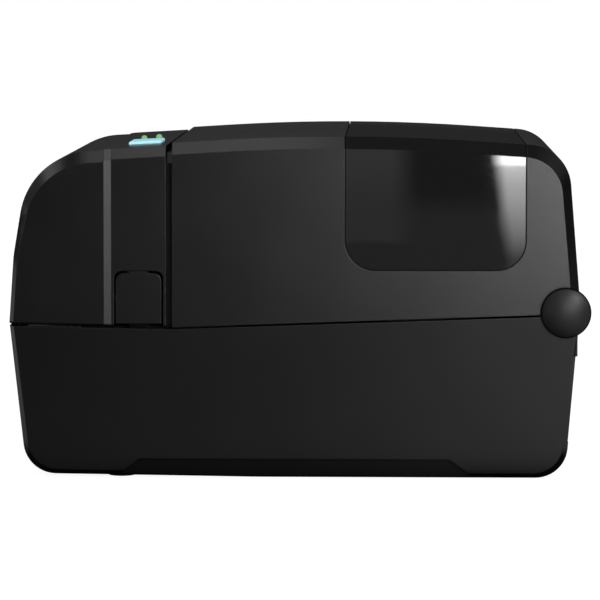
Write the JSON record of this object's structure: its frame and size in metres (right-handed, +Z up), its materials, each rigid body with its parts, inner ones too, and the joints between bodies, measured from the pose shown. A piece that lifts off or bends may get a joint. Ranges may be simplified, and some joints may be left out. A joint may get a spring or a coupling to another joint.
{
  "type": "thermal label printer",
  "caption": "Desktop thermal-transfer label printer: shallow base with platen drive and roll bay, tall hinged lid with wrap-over smoked window, side latches and lit feed button.",
  "frame": {"origin": "on the table, under the middle of the printer's overall box", "axes": "+Z up, label exit at -Y, lid hinge at +Y, width along X"},
  "size_m": [0.211, 0.2816, 0.1662],
  "materials": {
    "case_black": "fine spark-eroded grain, satin",
    "smoke": "polished, smoked",
    "foot_rubber": "matte",
    "roller_rubber": "ground",
    "tray_grey": "fine grain",
    "holder_blue": "satin",
    "gear_nylon": "satin",
    "sheet_steel": "zinc plated",
    "bright_steel": "ground",
    "screw_steel": "zinc plated",
    "motor_metal": "satin black",
    "head_metal": "extruded",
    "board_green": "solder mask",
    "socket_black": "satin",
    "socket_metal": "tin plated",
    "button_lit": "translucent, lit from below",
    "lamp_green": "clear tinted"
  },
  "bodies": {
    "base": {"lower_case": "case_black", "rubber_feet": "foot_rubber", "hinge_pins": "case_black", "latch_strikes": "sheet_steel", "media_tray": "tray_grey", "frame_right": "sheet_steel", "frame_left": "sheet_steel", "frame_screws": "screw_steel", "tray_screws": "screw_steel", "platen_bushes": "gear_nylon", "idler_axle": "bright_steel", "stepper_motor": "motor_metal", "motor_screws": "screw_steel", "tear_bar": "sheet_steel", "sensor_rail": "bright_steel", "main_board": "board_green", "dc_inlet": "socket_black", "usb_port": "socket_metal", "switch_frame": "socket_black"},
    "cover": {"top_cover": "case_black", "front_cover": "case_black", "window": "smoke", "status_lenses": "lamp_green", "control_board": "board_green", "ribbon_frame": "tray_grey", "cover_screws": "screw_steel", "head_pivot": "bright_steel"},
    "right_latch": {"latch_right": "case_black"},
    "left_latch": {"latch_left": "case_black"},
    "button": {"feed_button": "button_lit"},
    "rocker": {"power_rocker": "socket_black"},
    "platen": {"platen_shaft": "bright_steel", "platen_roller": "roller_rubber", "platen_gear": "gear_nylon"},
    "idler": {"idler_gear": "gear_nylon"},
    "rotor": {"motor_shaft": "bright_steel", "motor_pinion": "gear_nylon"},
    "right_holder": {"holder_right": "holder_blue", "rack_right": "holder_blue"},
    "left_holder": {"holder_left": "holder_blue", "rack_left": "holder_blue"},
    "centring_pinion": {"holder_pinion": "gear_nylon"},
    "sensor": {"media_sensor": "socket_black"},
    "supply": {"supply_spindle": "holder_blue"},
    "rewind": {"rewind_spindle": "holder_blue", "rewind_knob": "holder_blue"},
    "head": {"print_head": "head_metal", "head_bracket": "sheet_steel"}
  },
  "joints": [
    {"name": "cover_hinge", "type": "hinge", "parent": "base", "child": "cover", "pos_m": [0, 0.1286, 0.0817], "axis": [-1, 0, 0], "range_deg": [0, 95]},
    {"name": "right_latch_press", "type": "hinge", "parent": "cover", "child": "right_latch", "pos_m": [0.0978, -0.0775, 0.1012], "axis": [0, 1, 0], "range_deg": [0, 6], "stiffness_Nm_per_rad": 0.6, "springref_deg": -1.15},
    {"name": "left_latch_press", "type": "hinge", "parent": "cover", "child": "left_latch", "pos_m": [-0.0978, -0.0775, 0.1012], "axis": [0, -1, 0], "range_deg": [0, 6], "stiffness_Nm_per_rad": 0.6, "springref_deg": -1.15},
    {"name": "button_press", "type": "slide", "parent": "cover", "child": "button", "axis": [0, 0, -1], "range_m": [0, 0.0012], "stiffness_N_per_m": 800, "springref_m": -0.0005},
    {"name": "rocker_tilt", "type": "hinge", "parent": "base", "child": "rocker", "pos_m": [-0.0835, 0.1245, 0.039], "axis": [1, 0, 0], "range_deg": [0, 18]},
    {"name": "platen_spin", "type": "hinge", "parent": "base", "child": "platen", "pos_m": [0, -0.12, 0.067], "axis": [1, 0, 0], "continuous": true},
    {"name": "idler_spin", "type": "hinge", "parent": "base", "child": "idler", "pos_m": [-0.085, -0.09649, 0.05343], "axis": [1, 0, 0], "continuous": true},
    {"name": "motor_spin", "type": "hinge", "parent": "base", "child": "rotor", "pos_m": [-0.06, -0.07567, 0.04585], "axis": [1, 0, 0], "continuous": true},
    {"name": "right_holder_slide", "type": "slide", "parent": "base", "child": "right_holder", "axis": [-1, 0, 0], "range_m": [0, 0.04]},
    {"name": "left_holder_slide", "type": "slide", "parent": "base", "child": "left_holder", "axis": [1, 0, 0], "range_m": [0, 0.04]},
    {"name": "centring_pinion_spin", "type": "hinge", "parent": "base", "child": "centring_pinion", "pos_m": [0, 0.058, 0.0085], "axis": [0, 0, -1], "range_deg": [0, 287]},
    {"name": "sensor_slide", "type": "slide", "parent": "base", "child": "sensor", "axis": [1, 0, 0], "range_m": [-0.045, 0.045]},
    {"name": "supply_spin", "type": "hinge", "parent": "cover", "child": "supply", "pos_m": [0, -0.038, 0.1205], "axis": [1, 0, 0], "continuous": true},
    {"name": "rewind_spin", "type": "hinge", "parent": "cover", "child": "rewind", "pos_m": [0, -0.086, 0.1305], "axis": [1, 0, 0], "continuous": true},
    {"name": "head_lift", "type": "hinge", "parent": "cover", "child": "head", "pos_m": [0, -0.096, 0.0945], "axis": [-1, 0, 0], "range_deg": [0, 3], "stiffness_Nm_per_rad": 2, "springref_deg": -11.46}
  ],
  "couplings": [
    {"joint": "idler_spin", "follows": "platen_spin", "ratio": -0.8},
    {"joint": "motor_spin", "follows": "platen_spin", "ratio": 1.7143},
    {"joint": "left_holder_slide", "follows": "right_holder_slide", "ratio": 1},
    {"joint": "centring_pinion_spin", "follows": "right_holder_slide", "rad_per_m": 125}
  ]
}
